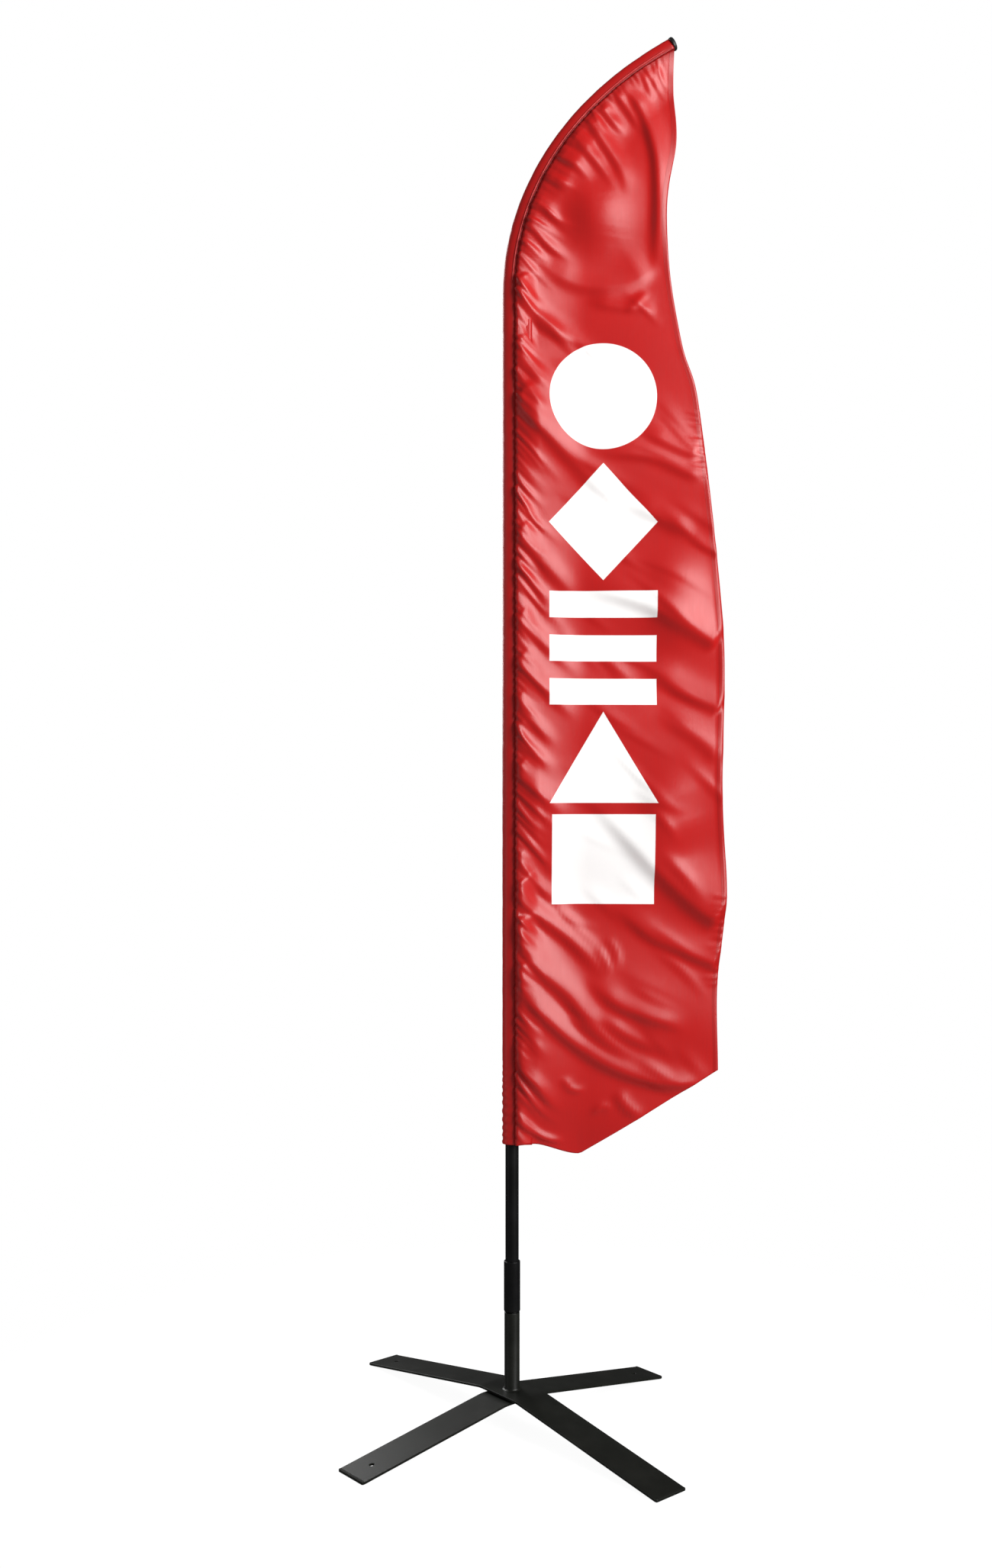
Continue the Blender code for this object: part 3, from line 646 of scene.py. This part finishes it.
def flagPanel():
    # flat cloth, pushed forward by the sleeve behind it, swells, folds, puckers and the hem's double cloth
    v = np.linspace(0, 1, flag["rows"])
    point, inward, _, share = luffLine(v * luffLength)
    seam = point + luff["seam"] * inward
    edge = along(smoothCurve(flag["freeEdge"], 12), v)
    flat = panelGrid(v, seam, edge)
    x, z = flat[..., 0], flat[..., 1]
    inset = np.linalg.norm(flat - seam[:, None], axis=-1)
    fromEdge = np.linalg.norm(flat - edge[:, None], axis=-1)
    tipward = smoothstep(0.0, flag["tipFade"], 1 - v)[:, None]

    def raised(folds):
        return sum(foldHeight(x, z, fold) for fold in folds)

    y = -panelFront(inset, share[:, None] + 0 * inset) - flag["clearance"]
    free = smoothstep(0.0, 0.05, inset)
    for height, period, slant, phase in flag["swell"]:
        y -= free * height * np.sin((z + slant * x) * 2 * pi / period + phase)
    y -= raised(flag["folds"] + slackFolds()) * smoothstep(-0.004, 0.016, inset) * tipward
    small = raised(seamPuckers() + hemPuckers(edge))
    y -= small * smoothstep(-0.003, 0.004, inset) * tipward
    x = x - 0.6 * small * (1 - smoothstep(0.0, 0.030, inset)) * tipward     # their ends lap over the seam
    y -= 0.00025 * (1 - smoothstep(flag["hem"] - 0.0004, flag["hem"] + 0.0004, fromEdge))

    points = np.stack([x, y, z], -1)
    layers = {"cloth": flat, "edges": np.stack([inset, fromEdge], -1)}
    panel = gridPiece("satin_panel", points, layers, "pole", satinFinish("red_satin", True))
    solid = panel.modifiers.new("cloth thickness", "SOLIDIFY")
    solid.thickness = flag["thickness"]
    solid.offset = 0
    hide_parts("flag_panel")
    return panel, flatArea(flat)


# Sleeve
sleeve = {
    "rows": 560,
    "columns": (18, 6, 11, 8),          # in front, under the panel, behind the pole, round the outer edge
    "thickness": 0.0006,
    "poleInset": (0.0195, 0.0130),      # pole's own axis from the outer edge, straight and at the tip
    "wrinkle": 0.00012,
    "waves": [(0.041, 0.7), (0.067, 0.7), (0.0235, 0.5), (0.113, 0.7)],     # length and share of a wrinkle
    "ruffle": 0.0010,
    "rufflePitch": 0.0155,
    "ruffleTop": 0.760,
    "cordRadius": 0.0014,
    "cordInset": 0.0190,
}


def sleeveSection(share):
    # front from the outer edge to the seam, on under the panel to the tail, and back behind the pole
    front, under, behind, outer = sleeve["columns"]
    crown, depth, tail = (between(luff[word], share) for word in ("crown", "depth", "tail"))
    tail = tail + (luff["seam"] + 0.0012 - tail) * smoothstep(0.70, 0.99, share)
    axis = between(sleeve["poleInset"], share)
    inset = [luff["seam"] * (1 - np.cos(np.linspace(0, pi / 2, front))) + 0 * share]
    y = [-sleeveFront(inset[0], share)]
    inset.append(luff["seam"] + (tail - luff["seam"]) * np.linspace(0, 1, under + 1)[1:])
    y.append(-panelFront(inset[1] - luff["seam"], share + 0 * inset[1]) + 0.8 * luff["lift"])
    inset.append(tail + (crown - tail) * np.linspace(0, 1, behind + 1)[1:])
    y.append(depth + (y[1][:, -1:] - depth) * smoothstep(0, 1, (inset[2] - axis) / (tail - axis)))
    inset.append(crown * (1 - np.sin(np.linspace(0, pi / 2, outer + 1)))[1:-1] + 0 * share)
    y.append(depth * np.sqrt(1 - ((inset[3] - crown) / crown) ** 2))
    return np.concatenate(inset, 1), np.concatenate(y, 1)


def poleSleeve():
    s = np.linspace(0, luffLength, sleeve["rows"])
    point, inward, _, share = luffLine(s)
    inset, y = sleeveSection(share[:, None])
    # wrinkles: waves of four lengths that do not repeat together, and a ruffle near the foot
    rng = np.random.default_rng(5)
    around = np.cumsum(np.hypot(np.diff(inset[0], prepend=0), np.diff(y[0], prepend=0)))[None, :]
    up = s[:, None]
    waves = sum(height * np.sin(up * 2 * pi / period + rng.uniform(0, 6) + around * rng.uniform(40, 90))
                for period, height in sleeve["waves"])
    foot = 1 - smoothstep(0.09, sleeve["ruffleTop"] - luff["foot"], up)
    ruffle = np.sin(up * 2 * pi / sleeve["rufflePitch"] + 1.2 * np.sin(up * 47)) * foot
    out = (sleeve["wrinkle"] * waves + sleeve["ruffle"] * ruffle) * (1 - smoothstep(0.012, 0.024, inset))
    inset = inset - out * (1 - inset / 0.030)
    y = y * (1 + 30 * out)
    place = point[:, None] + inset[..., None] * inward[:, None]
    points = np.stack([place[..., 0], y, place[..., 1]], -1)
    uv = np.stack([around + 0 * inset, up + 0 * inset], -1)
    tube = gridPiece("satin_sleeve", points, {"cloth": uv}, "pole", satinFinish("red_sleeve_satin", False),
                     closed=True)
    solid = tube.modifiers.new("cloth thickness", "SOLIDIFY")
    solid.thickness = sleeve["thickness"]
    solid.offset = -1
    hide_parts("flag_sleeve")
    return tube


def sleeveCord(finish):
    # a corded seam shows as a raised line where the sleeve curves: a round section, thinned at both ends
    s = np.linspace(luff["bendStart"] - luff["foot"] - 0.02, luffLength - 0.012, 260)
    point, inward, _, share = luffLine(s)
    line = point + sleeve["cordInset"] * inward
    front = -sleeveFront(np.full_like(share, sleeve["cordInset"]), share) - 0.0003
    turn = np.linspace(0, 2 * pi, 8, endpoint=False)[None, :]
    full = smoothstep(0, 0.10, s - s[0]) * smoothstep(0, 0.02, s[-1] - s)
    girth = sleeve["cordRadius"] * full[:, None] + 0.0001
    place = line[:, None] + (girth * np.cos(turn))[..., None] * inward[:, None]
    points = np.stack([place[..., 0], front[:, None] + girth * np.sin(turn), place[..., 1]], -1)
    uv = np.stack([0.010 + 0.001 * turn + 0 * s[:, None], s[:, None] + 0 * turn], -1)
    return gridPiece("seam_cord", points, {"cloth": uv}, "pole", finish,
                     closed=True, ends=True)


panel, panelArea = flagPanel()
tube = poleSleeve()
seamCord = sleeveCord(tube.data.materials[0])
print("flag and sleeve made, flat area", round(panelArea, 3))


# Rounded metal
rounded = {     # edge radius, segments, whether it is a turned piece
    "upper_cross_bar": (0.0007, 1, False),
    "lower_cross_bar": (0.0007, 1, False),
    "coupler_sleeve": (0.0006, 2, True),
    "base_post": (0.0005, 2, True),
    "tip_cap": (0.0008, 3, True),
}


def roundedCopy(name, body, width, segments, turned):
    # the node's own surface with its loose triangles merged, its flats joined and its edges rounded
    source = nodes[name]
    mesh = bmesh.new()
    mesh.from_mesh(source.data)
    bmesh.ops.remove_doubles(mesh, verts=mesh.verts, dist=0.000002)
    bmesh.ops.dissolve_limit(mesh, angle_limit=radians(0.6), verts=mesh.verts, edges=mesh.edges)
    data = bpy.data.meshes.new(name + "_rounded")
    mesh.to_mesh(data)
    mesh.free()
    if turned:
        data.shade_smooth()
        data.set_sharp_from_angle(angle=radians(30))
    data.materials.append(source.material_slots[0].material)
    piece = bpy.data.objects.new(name + "_rounded", data)
    bpy.context.scene.collection.objects.link(piece)
    bevel = piece.modifiers.new("edges", "BEVEL")
    bevel.width = width
    bevel.segments = segments
    bevel.limit_method = "ANGLE"
    bevel.angle_limit = radians(32)
    bevel.harden_normals = turned
    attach(piece, body)
    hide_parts(name)
    return piece


bodies = frame["record"]["behaviour"]["bodies"]
bodyOf = {node: body for body, members in bodies.items() for node in members}
for node in nodes.values():
    slotName = node.material_slots[0].material.name.split(".")[0]
    if slotName in finishes:
        for place in node.material_slots:
            place.material = finishes[slotName]
nodes["spindle"].material_slots[0].material = finishes["blackened_steel"]
for name, rule in rounded.items():
    piece = roundedCopy(name, bodyOf[name], *rule)
print("metal finished:", sorted({n.material_slots[0].material.name for n in nodes.values()}))


# Floor, light and camera
studio = {
    "surround": dict(light=0.42, reflected=0.05),       # strength of the white all round
    "key": dict(place=(2.6, -2.3, 2.6), size=(1.5, 3.4), power=196.0),
    "back": dict(place=(-2.4, 3.0, 2.8), size=(2.4, 2.4), power=120.0),
    "rim": dict(place=(-2.8, -0.9, 1.4), size=(0.25, 3.0), power=5.0),
    "aim": (0.12, 0.0, 1.5),
    # its white goes on to floorEnd and fades out before it
    "floorRadius": 2.6,
    "floorEnd": 1.25,
    "floorFade": 0.85,
    "floorGlow": 0.95,
    "camera": (-0.0325, -3.169, 1.292),     # from the pole's axis
    "lens": 35.9,
}


def addFloor():
    # a disc just under the object, dark to its light but glowing white
    turn = np.linspace(0, 2 * pi, 96, endpoint=False)
    radius = studio["floorRadius"]
    ring = np.stack([radius * np.cos(turn), radius * np.sin(turn), 0 * turn - 0.0005], -1)
    mesh = bpy.data.meshes.new("studio_floor")
    mesh.from_pydata(ring, [], [list(range(len(turn)))])
    floor = bpy.data.objects.new("studio_floor", mesh)
    bpy.context.scene.collection.objects.link(floor)
    finish = Finish("studio_floor", Base_Color=(0.12, 0.12, 0.12), Roughness=0.9, Specular_IOR_Level=0.1)
    x, y, _ = finish.parts(finish.objectPlace())
    distance = (x * x + y * y).maths("SQRT")
    inside = finish.clamped((studio["floorEnd"] - distance) / studio["floorFade"])
    mesh.materials.append(finish.give(Alpha=inside, Emission_Color=(1.0, 1.0, 1.0),
                                      Emission_Strength=studio["floorGlow"]))
    floor.visible_glossy = False


def addSoftbox(name, rule):
    data = bpy.data.lights.new(name, "AREA")
    data.shape = "RECTANGLE"
    data.size, data.size_y = rule["size"]
    data.energy = rule["power"]
    lamp = bpy.data.objects.new(name, data)
    lamp.location = Vector(rule["place"]) + Vector((poleX, 0, 0))
    aim = Vector(studio["aim"]) + Vector((poleX, 0, 0))
    lamp.rotation_euler = (aim - lamp.location).to_track_quat("-Z", "Y").to_euler()
    bpy.context.scene.collection.objects.link(lamp)


def addSurround():
    # plain white behind the object, softer white for its light, dim in its reflections
    world = bpy.data.worlds.new("studio")
    world.use_nodes = True
    shading = ShaderNodes(world.node_tree)
    strength = studio["surround"]["light"]
    for ray, other in (("Is Glossy Ray", studio["surround"]["reflected"]), ("Is Camera Ray", 1.0)):
        strength = shading.blend(shading.node("ShaderNodeLightPath", output=ray), strength, other)
    background = world.node_tree.nodes["Background"]
    shading.feed(background.inputs["Strength"], strength)
    shading.feed(background.inputs["Color"], (1.0, 1.0, 1.0))
    bpy.context.scene.world = world


def addCamera():
    data = bpy.data.cameras.new("camera")
    data.lens = studio["lens"]
    data.sensor_width = 36.0
    camera = bpy.data.objects.new("camera", data)
    camera.location = Vector(studio["camera"]) + Vector((poleX, 0, 0))
    camera.rotation_euler = (radians(90), 0, 0)
    bpy.context.scene.collection.objects.link(camera)
    bpy.context.scene.camera = camera


addFloor()
addSoftbox("key_softbox", studio["key"])
addSoftbox("rim_strip", studio["rim"])
addSoftbox("back_softbox", studio["back"])
addSurround()
addCamera()
bpy.context.scene.view_settings.view_transform = "Standard"
print("floor, light and camera placed")
